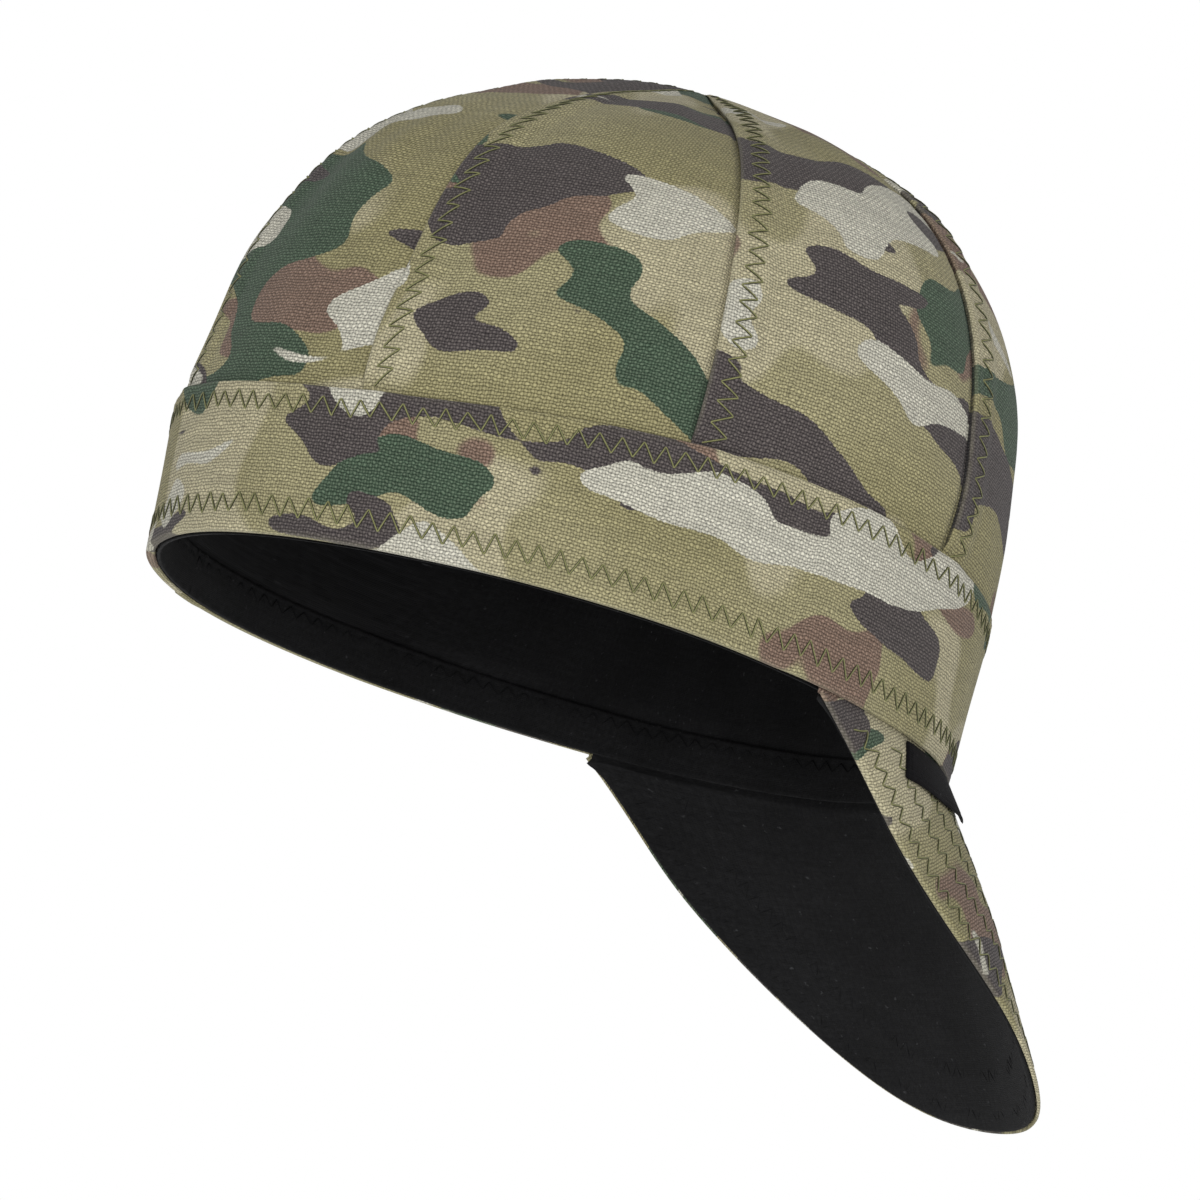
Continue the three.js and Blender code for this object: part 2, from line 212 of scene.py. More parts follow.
def up_rows(column, row):
    values = CROWN_SECTIONS[:, column]
    return hermite(ROW_KNOTS, values, ROW_SLOPES @ values, row)


def smooth(low, high, value):
    t = np.clip((value - low) / (high - low), 0, 1)
    return t * t * (3 - 2 * t)


def bell(value, width):
    return np.exp(-((value / width) ** 2))


def puckers(length, phase=0.0):
    """Waves of the cloth from stitch to stitch."""
    return np.cos(2 * np.pi * length / ZIGZAG_PITCH + phase)


def unit(vectors):
    return vectors / np.maximum(np.linalg.norm(vectors, axis=-1, keepdims=True), 1e-12)


def apart(first, second):
    return np.linalg.norm(second - first, axis=-1)


def travelled(points):
    """Distances along each row of points from its first one."""
    steps = apart(points[..., :-1, :], points[..., 1:, :])
    return np.concatenate([np.zeros_like(steps[..., :1]), np.cumsum(steps, -1)], -1)


def soft_noise(points, wavelength, seed):
    """Smooth noise of about -1 to 1, from waves in random directions."""
    rng, waves = np.random.default_rng(seed), NOISE_WAVES
    directions = unit(rng.normal(size=(waves, 3)))
    lengths = wavelength * rng.uniform(0.7, 1.5, waves)
    phases = rng.uniform(0, 2 * np.pi, waves)
    turned = points @ (directions * (2 * np.pi / lengths)[:, None]).T + phases
    return np.sin(turned).sum(-1) / np.sqrt(waves)


# The headband's and the crown's walls

def oval(length, width, angle, z, inset=0.0):
    turn = np.radians(angle)
    out_x, out_y = -np.sin(turn) / (width / 2), -np.cos(turn) / (length / 2)
    size = np.hypot(out_x, out_y)
    x = -width / 2 * np.sin(turn) - inset * out_x / size
    y = -length / 2 * np.cos(turn) - inset * out_y / size
    return np.stack(np.broadcast_arrays(x, y, z), -1)


def rim_z(angle):
    return BAND_HEIGHT * around(all_round(RIM_LINE), angle)


def band_top_z(angle):
    return BAND_HEIGHT * around(all_round(BAND_TOP_LINE), angle)


def band_height(angle):
    return band_top_z(angle) - rim_z(angle)


def band_point(angle, share, inset):
    low = oval(RIM_LENGTH, RIM_WIDTH, angle, rim_z(angle), inset)
    high = oval(BAND_TOP_LENGTH, BAND_TOP_WIDTH, angle, band_top_z(angle), inset)
    return low + (high - low) * np.asarray(share)[..., None]


def wall_point(angle, up, inset=0.0):
    """Point on the band's wall, up millimetres above the rim."""
    return band_point(angle, up / band_height(angle), inset)


def band_out(angle):
    """Outward level directions of the band."""
    return unit(oval(RIM_LENGTH, RIM_WIDTH, angle, 0.0, -1.0) - oval(RIM_LENGTH, RIM_WIDTH, angle, 0.0))


def crown_base(angle, row):
    """The crown's outer face without bulges: row 0 at the band's top edge, -1 at the panels' feet."""
    angle, row = np.broadcast_arrays(np.asarray(angle, float), np.asarray(row, float))
    foot_share = PANEL_FOOT / band_height(angle)
    foot = band_point(angle, 1 + (1 - foot_share) * np.minimum(row, 0), PANEL_INSET)
    level = np.maximum(row, 0)
    spread = around(all_round([up_rows(column, level) for column in range(1, 6)]), angle)
    apex = np.array([0, -APEX_FORWARD, CROWN_HEIGHT])
    point = apex + (foot - apex) * spread[..., None]
    point[..., 2] = foot[..., 2] + (apex[2] - foot[..., 2]) * up_rows(0, level)
    return point


def crown_normal(angle, row):
    row = np.clip(row, -1, LAST_ROW - 0.02)
    turn, rise = 0.8, 0.04
    across = crown_base(angle + turn, row) - crown_base(angle - turn, row)
    upward = crown_base(angle, row + rise * (row > -0.5)) - crown_base(angle, row - rise)
    return unit(np.cross(upward, across))


class Lane:
    """Distances along the crown from the band's top edge up to the apex, for one oval angle."""

    def __init__(self, angle):
        self.rows = np.concatenate([np.linspace(-1, 0, 5)[:-1], np.linspace(0, LAST_ROW, 181)])
        lengths = travelled(crown_base(np.full_like(self.rows, angle), self.rows))
        self.lengths = lengths - np.interp(0, self.rows, lengths)

    def row(self, length):
        return np.interp(length, self.lengths, self.rows)

    def length(self, row):
        return np.interp(row, self.rows, self.lengths)


def above_band(row):
    """1 where a panel shows, falling to 0 where it runs behind the band."""
    return smooth(-0.12, 0.28, row)


def fold_rise(from_fold):
    """How much a panel's folded edge is raised, and where that ends."""
    return FOLD_HEIGHT * (1 - smooth(FOLD_WIDTH - 2.6, FOLD_WIDTH + 2.2, from_fold))


class Panel:
    """One crown panel. Its edge at the larger angle is folded and lies on top; the other runs beneath."""

    def __init__(self, number):
        self.number = number
        self.start = SEAM_KNOTS[number]
        self.span = SEAM_KNOTS[number + 1] - self.start
        self.middle = Lane(self.start + self.span / 2)
        self.fold_lane = Lane(self.start + self.span)
        rows = self.middle.rows
        shares = np.linspace(0, 1, 13)
        grid = crown_base(self.start + self.span * shares[:, None], rows[None, :])
        self.widths = apart(grid[:-1], grid[1:]).sum(0)

    def width(self, row):
        return np.interp(row, self.middle.rows, self.widths)

    def narrowing(self, row):
        return np.clip(self.width(row) / 34.0, 0.04, 1)

    def relief(self, share, row):
        """Height of the outer face over the crown's base."""
        width, narrow = self.width(row), self.narrowing(row)
        from_fold = (1 - share) * width / narrow
        from_start = share * width / narrow
        clear = 0.25 + 0.75 * smooth(-0.3, 0.1, row)
        bulge = PANEL_BULGE * np.sin(np.pi * np.clip(share, 0, 1))
        bulge *= np.sin(np.pi * np.clip(row, 0, LAST_ROW) / LAST_ROW) ** 0.7
        raised = fold_rise(from_fold)
        raised += 0.36 * bell(from_fold - 1.2, 1.0) + 0.10 * bell(from_fold - 5.2, 1.3)
        raised += 0.09 * puckers(self.fold_lane.length(row), self.number) * bell(from_fold - 8.2, 2.6)
        under = 0.72 * bell(from_start + 0.2, 0.95) + 0.45 * bell(from_start + 1.6, 1.2)
        under -= 0.10 * np.cos(2 * np.pi * self.middle.length(row) / 5.3) * bell(from_start - 3.4, 2.0)
        height = bulge + (raised - under) * narrow**0.6 * above_band(row)
        base = crown_base(self.start + self.span * share, row)
        height -= 0.4 * bell(np.hypot(base[..., 0], base[..., 1] + APEX_FORWARD), 3.0)
        fade = narrow * clear
        height += fade * (0.42 * soft_noise(base, 62, 40 + self.number) + 0.13 * soft_noise(base, 24, 7))
        for panel, place, first, last, half, depth, lean in WRINKLES:
            if panel == self.number:
                off = (share - place - lean * (row - (first + last) / 2)) * width
                window = smooth(first, first + 1.1, row) * (1 - smooth(last - 1.1, last, row))
                height += depth * window * narrow * (0.45 * bell(off - 1.7 * half, half) - bell(off, half))
        return height

    def point(self, share, row, height):
        angle = self.start + self.span * share
        return crown_base(angle, row) + crown_normal(angle, row) * height[..., None]

    def sewn(self, along, from_fold):
        """Point and normal on the outer face, from distances along the fold and in from it."""
        row = self.fold_lane.row(along)
        share = 1 - from_fold * self.narrowing(row) / self.width(row)
        angle = self.start + self.span * share
        return self.point(share, row, self.relief(share, row)), crown_normal(angle, row)


# Meshes

def shell(outer, inner, uv, ring=False):
    """Points, faces and UVs of a closed cloth shell between two grids of columns and rows."""
    columns, rows = outer.shape[:2]
    front = np.arange(columns * rows).reshape(columns, rows)
    back = front + columns * rows

    def quads(grid):
        corners = grid[:-1, :-1], grid[1:, :-1], grid[1:, 1:], grid[:-1, 1:]
        return np.stack(corners, -1).reshape(-1, 4)

    faces = [quads(front), quads(back)[:, ::-1]]
    faces.append(quads(np.stack([back[:, 0], front[:, 0]], 1)))
    faces.append(quads(np.stack([front[:, -1], back[:, -1]], 1)))
    if not ring:
        faces.append(quads(np.stack([back[0], front[0]], 1))[:, ::-1])
        faces.append(quads(np.stack([front[-1], back[-1]], 1))[:, ::-1])
    points = np.concatenate([outer.reshape(-1, 3), inner.reshape(-1, 3)])
    flat = uv.reshape(-1, 2)
    return points, np.concatenate(faces), np.concatenate([flat, flat])


def piece(name, points, faces, uv, finish, replaces=None, wear=None):
    """A mesh piece from points in millimetres, welded where two points are the same, with outward normals."""
    material, slot = finish
    mesh = bpy.data.meshes.new(name)
    mesh.from_pydata((points * MM).tolist(), [], faces.tolist())
    layer = mesh.uv_layers.new(name="UVMap")
    corner_points = np.empty(len(mesh.loops), dtype=np.int32)
    mesh.loops.foreach_get("vertex_index", corner_points)
    layer.data.foreach_set("uv", (uv[corner_points] * MM).astype(np.float32).ravel())
    if wear is not None:
        attribute = mesh.attributes.new("wear", "FLOAT", "POINT")
        attribute.data.foreach_set("value", np.clip(wear, 0, 1).astype(np.float32).ravel())
    work = bmesh.new()
    work.from_mesh(mesh)
    bmesh.ops.remove_doubles(work, verts=work.verts, dist=2e-6)
    bmesh.ops.recalc_face_normals(work, faces=work.faces)
    work.to_mesh(mesh)
    work.free()
    mesh.shade_smooth()
    mesh.materials.append(material)
    made = bpy.data.objects.new(name, mesh)
    bpy.context.scene.collection.objects.link(made)
    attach(made, "root")
    if replaces:
        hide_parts(replaces)
    return made


def cloth_piece(name, outer, inner, uv, finish, replaces, ring=False, wear=None):
    """A closed cloth piece between two grids of points. Wear is given for the outer one."""
    points, faces, flat = shell(outer, inner, uv, ring)
    if wear is not None:
        wear = np.concatenate([wear.ravel(), np.zeros(wear.size)])
    return piece(name, points, faces, flat, finish, replaces, wear)


def declare(grid):
    """Works out the areas of the grid's triangles, which nothing uses."""
    a, b, c, d = grid[:-1, :-1], grid[1:, :-1], grid[1:, 1:], grid[:-1, 1:]
    halves = np.linalg.norm([np.cross(b - a, c - a), np.cross(c - a, d - a)], axis=-1)


def stitches(name, corners, sewn, finish, seed, radius=THREAD_RADIUS, jitter=(0.22, 0.20)):
    """Thread legs between corners, laid on a sewn surface. Each leg's ends go down into the cloth."""
    rng = np.random.default_rng(seed)
    corners = corners + rng.normal(size=corners.shape) * jitter
    starts, ends = corners[:-1], corners[1:]
    places = starts[:, None] + (ends - starts)[:, None] * LEG_SHARES[:, None]
    points, normals = sewn(places[..., 0], places[..., 1])
    points = points + normals * (radius * LEG_LIFT)[:, None]
    along = unit(np.gradient(points, axis=1))
    side = unit(np.cross(along, normals))
    up = np.cross(side, along)
    turns = np.arange(THREAD_SIDES) * 2 * np.pi / THREAD_SIDES
    ring = side[:, :, None] * np.cos(turns)[:, None] + up[:, :, None] * np.sin(turns)[:, None]
    tube = points[:, :, None] + ring * radius
    legs, rings = tube.shape[:2]
    index = np.arange(legs * rings * THREAD_SIDES).reshape(legs, rings, THREAD_SIDES)
    turned = np.roll(index, -1, axis=2)
    walls = np.stack([index[:, :-1], turned[:, :-1], turned[:, 1:], index[:, 1:]], -1).reshape(-1, 4)
    lengthwise = (np.arange(rings) * 0.8)[None, :, None] + np.arange(legs)[:, None, None] * 0.37
    uv = np.stack(np.broadcast_arrays(np.cos(turns)[None, None, :] / 2, lengthwise), -1)
    caps = np.concatenate([index[:, 0, ::-1], index[:, -1]])
    faces = np.concatenate([walls, caps[:, [0, 1, 2, 3]], caps[:, [0, 3, 4, 5]]])
    return piece(name, tube.reshape(-1, 3), faces, uv.reshape(-1, 2), finish)


def zigzag(start, end, near, far, slant=0.36, pitch=ZIGZAG_PITCH):
    """Corners of a zigzag from start to end along a line, between two distances from it."""
    count = max(int(round((end - start) / pitch)), 1)
    pitch = (end - start) / count
    along = start + pitch * (np.arange(2 * count + 1) // 2)
    along[1::2] += slant * pitch
    across = np.where(np.arange(2 * count + 1) % 2 == 0, near, far)
    return np.stack([along, across], -1)


# Materials

class Wire:
    """A shader node's output. Arithmetic with it adds nodes to its tree."""

    def __init__(self, socket):
        self.socket, self.tree = socket, socket.id_data

    def to(self, socket):
        self.tree.links.new(self.socket, socket)

    def math(self, operation, other=0.0, clamp=False):
        return wire(self.tree, "ShaderNodeMath", {0: self, 1: other}, operation=operation, use_clamp=clamp)

    def __add__(self, other):
        return self.math("ADD", other)

    def __sub__(self, other):
        return self.math("SUBTRACT", other)

    def __rsub__(self, other):
        return self * -1.0 + other

    def __mul__(self, other):
        return self.math("MULTIPLY", other)

    def __truediv__(self, other):
        return self.math("DIVIDE", other)

    def vector(self, operation, other):
        return wire(self.tree, "ShaderNodeVectorMath", {0: self, 1: other}, operation=operation)

    def scaled(self, factor):
        return wire(self.tree, "ShaderNodeVectorMath", {0: self, "Scale": factor}, operation="SCALE")

    def split(self):
        outputs = node(self.tree, "ShaderNodeSeparateXYZ", {0: self}).outputs
        return Wire(outputs[0]), Wire(outputs[1])

    def noise(self, scale, detail=0.0, output=0, dimensions="2D"):
        inputs = {"Vector": self, "Scale": scale, "Detail": detail}
        return wire(self.tree, "ShaderNodeTexNoise", inputs, output, noise_dimensions=dimensions)

    def drift(self, scale, reach, detail=0.0):
        """A shift to and fro by noise, for a place on the cloth."""
        return self.noise(scale, detail, "Color").vector("SUBTRACT", (0.5, 0.5, 0.5)).scaled(reach)

    def mapped(self, low, high, to_low=0.0, to_high=1.0, curve="LINEAR"):
        limits = {"From Min": low, "From Max": high, "To Min": to_low, "To Max": to_high}
        return wire(self.tree, "ShaderNodeMapRange", {"Value": self, **limits}, interpolation_type=curve)

    def mix(self, first, second):
        """The first colour where this factor is 0 and the second where it is 1."""
        return wire(self.tree, "ShaderNodeMix", {0: self, 6: first, 7: second}, 2, data_type="RGBA")

    def bump(self, shader, strength, distance):
        inputs = {"Height": self, "Strength": strength, "Distance": distance}
        wire(self.tree, "ShaderNodeBump", inputs).to(shader.inputs["Normal"])


def node(tree, kind, inputs=None, **settings):
    made = tree.nodes.new(kind)
    for key, value in settings.items():
        setattr(made, key, value)
    for key, value in (inputs or {}).items():
        if isinstance(value, Wire):
            value.to(made.inputs[key])
        else:
            made.inputs[key].default_value = value
    return made


def wire(tree, kind, inputs=None, output=0, **settings):
    return Wire(node(tree, kind, inputs, **settings).outputs[output])


def linear(red, green, blue):
    """Linear colour from display values of 0 to 255."""
    values = np.array([red, green, blue]) / 255
    curve = np.where(values <= 0.04045, values / 12.92, ((values + 0.055) / 1.055) ** 2.4)
    return (*curve.tolist(), 1.0)


def weave_group(name, pitch_u, pitch_v):
    """Node group for a plain weave, from UV in metres to WEAVE_OUTPUTS. Warp is 1 where warp is on top."""
    group = bpy.data.node_groups.new(name, "ShaderNodeTree")
    group.interface.new_socket("UV", in_out="INPUT", socket_type="NodeSocketVector")
    for out in WEAVE_OUTPUTS:
        group.interface.new_socket(out, in_out="OUTPUT", socket_type="NodeSocketFloat")
    uv = wire(group, "NodeGroupInput")
    end = node(group, "NodeGroupOutput")
    wander = uv.drift(140.0, 0.0011, 2.0)
    uneven = uv.drift(0.75 / pitch_v, 0.75 * pitch_v, 1.0)
    across, along = uv.vector("ADD", wander).vector("ADD", uneven).split()
    across, along = across / pitch_u, along / pitch_v

    def thread(place, other):
        """A thread's number, its rounded profile, and its rise over and under the crossing threads."""
        number = place.math("FLOOR")
        centred = place.math("FRACT") - 0.5
        profile = (1.0 - centred * centred * 4.3).math("MAXIMUM").math("SQRT")
        wave = ((other - 0.5) * np.pi).math("COSINE")
        odd = (number + 4096.0).math("MODULO", 2.0)
        return number, profile, wave * (1.0 - odd * 2.0)

    def tone(number, other, seed):
        """A tone for each thread that also drifts along it."""
        place = wire(group, "ShaderNodeCombineXYZ", {0: number, 1: other * 0.07, 2: seed})
        return place.noise(0.83, 1.0, dimensions="3D")

    warp_number, warp_profile, warp_rise = thread(across, along)
    weft_number, weft_profile, weft_fall = thread(along, across)
    warp = warp_profile * (warp_rise * 0.38 + 0.46)
    weft = weft_profile * (weft_fall * -0.38 + 0.62)
    height = warp.math("MAXIMUM", weft)
    gap = (1.0 - height / 0.62).math("MAXIMUM")
    over = warp.math("GREATER_THAN", weft)
    warp_tone, weft_tone = tone(warp_number, along, 3.7), tone(weft_number, across, 9.1)
    chosen = weft_tone + over * (warp_tone - weft_tone)
    for out, value in zip(WEAVE_OUTPUTS, (height, gap, chosen, over)):
        value.to(end.inputs[out])
    return group


def woven(uv, name, pitch_u, pitch_v):
    group = weave_group(name, pitch_u, pitch_v)
    outputs = node(uv.tree, "ShaderNodeGroup", {"UV": uv}, node_tree=group).outputs
    return [Wire(outputs[out]) for out in WEAVE_OUTPUTS]


def blotch(place, seed, scale, cover, stretch, warp, soft):
    """Mask of printed blotches. Cover is the noise value above which the colour is printed."""
    place = place.vector("MULTIPLY", (*stretch, 0)).vector("ADD", (seed * 1.37, seed * 0.71, 0))
    place = place.vector("ADD", place.drift(scale * 2.1, warp * 2))
    return place.noise(scale).mapped(cover - soft, cover + soft, curve="SMOOTHSTEP")


def cloth_material(name, roughness, sheen, sheen_roughness, specular):
    material = bpy.data.materials.new(name)
    material.use_nodes = True
    shader = material.node_tree.nodes["Principled BSDF"]
    for key, value in {"Roughness": roughness, "Sheen Weight": sheen, "Sheen Roughness": sheen_roughness,
                       "Specular IOR Level": specular}.items():
        shader.inputs[key].default_value = value
    return material, shader, wire(material.node_tree, "ShaderNodeUVMap", uv_map="UVMap")


def canvas_material():
    """Plain-woven canvas with a generic camouflage print, with painted shade low in its weave and a painted
    highlight on its thread crowns, and rubbed at its edges.
    """
    material, shader, uv = cloth_material("camouflage_canvas", 0.88, 0.08, 0.45, 0.22)
    height, gap, tone, warp_on_top = woven(uv, "canvas weave", *CANVAS_PITCH)
    place = uv.vector("ADD", uv.drift(1500.0, 0.0005))
    colour = linear(*PRINT_GROUND)
    for seed, (scale, cover, stretch, warp, soft, printed) in enumerate(PRINT_LAYERS, 1):
        colour = blotch(place, seed, scale, cover, stretch, warp, soft).mix(colour, linear(*printed))
    # Each thread's own tone, with painted shade where the weave lies low and in the gaps between threads and
    # painted highlight on its high points; warp a little darker than weft
    shade = tone.mapped(0.25, 0.75, 0.80, 1.18) * height.mapped(0.45, 1.0, 0.66, 1.17)
    shade = shade * (warp_on_top * -0.16 + 1.06) * (1.0 - gap * 0.95)
    # Painted highlight: a pale colour mixed onto the highest thread crowns
    crown_highlight = height.math("MINIMUM", 1.0).math("POWER", 4.0) * 0.13
    colour = crown_highlight.mix(colour.scaled(shade), linear(206, 200, 182))
    wear = wire(uv.tree, "ShaderNodeAttribute", None, "Fac", attribute_name="wear")
    worn = wear * (uv.noise(260.0, 3.0) * 0.55)
    worn.mix(colour, linear(176, 172, 146)).to(shader.inputs["Base Color"])
    (uv.noise(2600.0, 2.0) * 0.18 + height).bump(shader, 0.75, 0.00030)
    return material


def dark_material(name, colour, pitch_u, pitch_v, depth, roughness, sheen, specular):
    """Black cloth with a finer plain weave and a little lint."""
    material, shader, uv = cloth_material(name, roughness, sheen, 0.5, specular)
    height, _, tone, _ = woven(uv, name + " weave", pitch_u, pitch_v)
    cloud, lint = uv.noise(38.0, 3.0), uv.noise(900.0, 2.0)
    level = tone.mapped(0.25, 0.75, 0.75, 1.3) * (cloud * 0.7 + 0.65) * (lint * 0.9 + 0.55)
    dyed = wire(uv.tree, "ShaderNodeVectorMath", {0: linear(*colour)[:3], "Scale": level}, operation="SCALE")
    specks = uv.noise(520.0, 3.0).mapped(0.72, 0.80, 0.0, 0.5)
    specks.mix(dyed, linear(78, 78, 80)).to(shader.inputs["Base Color"])
    (cloud * 2.0 + (lint * 0.8 + height)).bump(shader, 0.7, depth)
    return material


def thread_material(name, dark, light, sheen, specular):
    """Sewing thread with slanting strands along the UV's length, with a painted highlight on its top and
    along its strands, and painted shade on its sides beside the cloth.
    """
    material, shader, uv = cloth_material(name, 0.6, sheen, 0.4, specular)
    across, along = uv.split()
    strand = ((along * 1.3 + across) * (2 * np.pi / MM)).math("SINE").math("ABSOLUTE")
    # Painted highlight along the strands' twist, stronger on some stitches than on others
    lit = strand.math("MULTIPLY", uv.noise(420.0, 1.0) * 1.8 - 0.1, clamp=True)
    # Painted highlight on the thread's top and painted shade on its sides, next to the cloth
    painted_top_light = (across * (np.pi / MM)).math("COSINE").mapped(0.35, 1.0)
    (painted_top_light * (lit * 0.65 + 0.35)).mix(linear(*dark), linear(*light)).to(shader.inputs["Base Color"])
    strand.bump(shader, 0.5, 0.00006)
    return material


# Each material, with the name of the record's slot for its pieces, which nothing reads
CANVAS_FINISH = canvas_material(), "camouflage_canvas"
BLACK_FINISH = (
    dark_material("black_cotton", (27, 27, 28), 0.00052, 0.00046, 0.00016, 0.9, 0.03, 0.12), "black_cotton")
LABEL_FINISH = (
    dark_material("label_cloth", (17, 16, 18), 0.00034, 0.00070, 0.00014, 0.55, 0.0, 0.04), "label_cloth")
# Each thread's first colour is its painted shade and its second its painted highlight
OLIVE_THREAD = thread_material("olive thread", (32, 33, 14), (156, 156, 104), 0.1, 0.3), "camouflage_canvas"
BLACK_THREAD = thread_material("black thread", (12, 12, 13), (28, 28, 29), 0.0, 0.06), "black_cotton"


# Crown panels

UNDER_COLUMNS = np.array([-1.6, -0.8, -0.2, 0.3, 0.8, 1.5, 2.4, 3.5, 4.8, 6.4])
FOLD_COLUMNS = np.array([12.6, 11.2, 9.8, 8.4, 7.2, 6.0, 4.8, 3.7, 2.8, 2.0, 1.3, 0.85])
FOLD_TURNS = np.radians([0, 35, 70, 100, 130, 160])
MIDDLE_COLUMNS = 24
PANEL_ROW_STEP = 1.5
# Rows close together under the crown's point, by their distances below the last
TOP_ROWS = np.array([4.8, 3.6, 2.5, 1.6, 0.8, 0])


def crown_panel(number):
    panel = Panel(number)
    lane = panel.middle
    top = lane.length(LAST_ROW) - 0.35
    lengths = np.concatenate([
        np.linspace(lane.length(-1), -2.0, 6)[:-1],
        np.linspace(-2.0, top - 6, int((top - 4) / PANEL_ROW_STEP)),
        top - TOP_ROWS,
    ])
    row = lane.row(lengths)[None, :]
    width, narrow = panel.width(row), panel.narrowing(row)
    under = UNDER_COLUMNS[:, None] * narrow
    fold = width - FOLD_COLUMNS[:, None] * narrow
    steps = np.linspace(0, 1, MIDDLE_COLUMNS + 2)[1:-1, None]
    middle = under[-1:] + (fold[:1] - under[-1:]) * steps
    turn = FOLD_TURNS[:, None]
    wrapped = width - FOLD_RADIUS * (1 - np.sin(turn)) * narrow
    across = np.concatenate([under, middle, fold, wrapped])
    share = across / width
    row = np.broadcast_to(row, share.shape)
    height = panel.relief(share, row)
    wraps = len(FOLD_TURNS)
    height[-wraps:] = height[-wraps:-wraps + 1] - FOLD_RADIUS * (1 - np.cos(turn)) * narrow
    outer = panel.point(share, row, height)

    turned_in = width - np.linspace(0.8, FOLD_RADIUS, wraps)[:, None] * narrow
    inner_across = np.concatenate([under, middle, fold, turned_in])
    inner_share = inner_across / width
    folded = fold_rise((width - inner_across) / narrow) * above_band(row)
    inner_height = panel.relief(inner_share, row) - (CANVAS_THICKNESS + folded) * narrow**0.6
    inner_height[-1] = height[-wraps] - 2 * FOLD_RADIUS * narrow[0]
    inner = panel.point(inner_share, row, inner_height)

    round_fold = np.concatenate([np.zeros((len(share) - wraps, 1)), FOLD_RADIUS * turn])
    drawn = across - width / 2 + round_fold * narrow
    uv = np.stack([drawn, np.broadcast_to(lengths, drawn.shape)], -1) + PANEL_ON_CLOTH * (number + 1)
    wear = 0.5 * bell((1 - share) * width / narrow - 0.1, 0.45) * smooth(-0.1, 0.3, row)
    name = f"panel_{number + 1}"
    made = cloth_piece("cloth_" + name, outer, inner, uv, CANVAS_FINISH, "crown_" + name, wear=wear)
    corners = zigzag(1.2, panel.fold_lane.length(LAST_ROW) - 7.5, *SEAM_ZIGZAG, SEAM_SLANTS[number])
    thread = stitches(f"stitches_seam_{number + 1}", corners, panel.sewn, OLIVE_THREAD, 100 + number)
    declare(outer)


for panel_number in range(8):
    crown_panel(panel_number)


# Headband

def ring_angles(spacing):
    """Angles round the rim from the band's lapped join, and the distances there. The last is the first."""
    fine = np.linspace(LAP_ANGLE, LAP_ANGLE + 360, 1441)
    lengths = travelled(band_point(fine, np.full_like(fine, 0.5), 0.0))
    whole = lengths[-1]
    close = np.array([0, 0.3, 0.7, 1.3])
    places = np.linspace(2.2, whole - 2.2, int(round(whole / spacing)))
    places = np.concatenate([close, places, whole - close[::-1]])
    return np.interp(places, lengths, fine), places, whole


RING, RING_LENGTHS, RING_LENGTH = ring_angles(1.5)


def ring_length(angle):
    """Distance round the band from its join."""
    return np.interp(np.mod(np.asarray(angle) - LAP_ANGLE, 360.0), RING - LAP_ANGLE, RING_LENGTHS)


SEAM_PLACES = ring_length(SEAMS)


def band_shift(angle, up, place=None):
    """How far the band stands out from its plain wall, up millimetres above the rim."""
    base = wall_point(angle, up)
    place = ring_length(angle) if place is None else place
    down = band_height(angle) - up
    shift = 0.10 + 0.20 * soft_noise(base, 58, 21) + 0.08 * soft_noise(base, 20, 22)
    for seam in SEAM_PLACES:
        away = np.mod(place - seam + RING_LENGTH / 2, RING_LENGTH) - RING_LENGTH / 2
        shift = shift + 0.9 * bell(away + 4.6, 5.0) * bell(down, 9.0)
    ripple = puckers(place)
    shift = shift + 0.07 * ripple * (bell(down - 1.2, 1.4) + bell(up - 2.4, 1.6))
    shift = shift - 0.13 * (bell(down - 4.6, 1.8) + bell(up - 6.7, 1.9))
    shift = shift + 0.6 * (1 - smooth(9, 13, place)) * smooth(-0.3, 0.7, place)
    shift = shift - 0.15 * bell(RING_LENGTH - place, 1.2)
    return shift


def ring_angle(length):
    """The oval angle at a distance round the band from its join."""
    return np.interp(np.mod(length, RING_LENGTH), RING_LENGTHS, RING)


def sewn_band(along, up):
    angle = ring_angle(along)
    normal = band_out(angle)
    return wall_point(angle, up) + normal * band_shift(angle, up)[..., None], normal


def sewn_band_top(along, down):
    return sewn_band(along, band_height(ring_angle(along)) - down)


def sewn_lap(up, along):
    return sewn_band(along, up)


def band_grid(angle, up, depth):
    """Points on the band, up from the rim and depth inward from its outer face."""
    place = np.broadcast_to(RING_LENGTHS[:, None], up.shape)
    shift = band_shift(angle, up, place) - depth
    points = wall_point(angle, up) + band_out(angle) * shift[..., None]
    points[-1] = points[0]
    return points


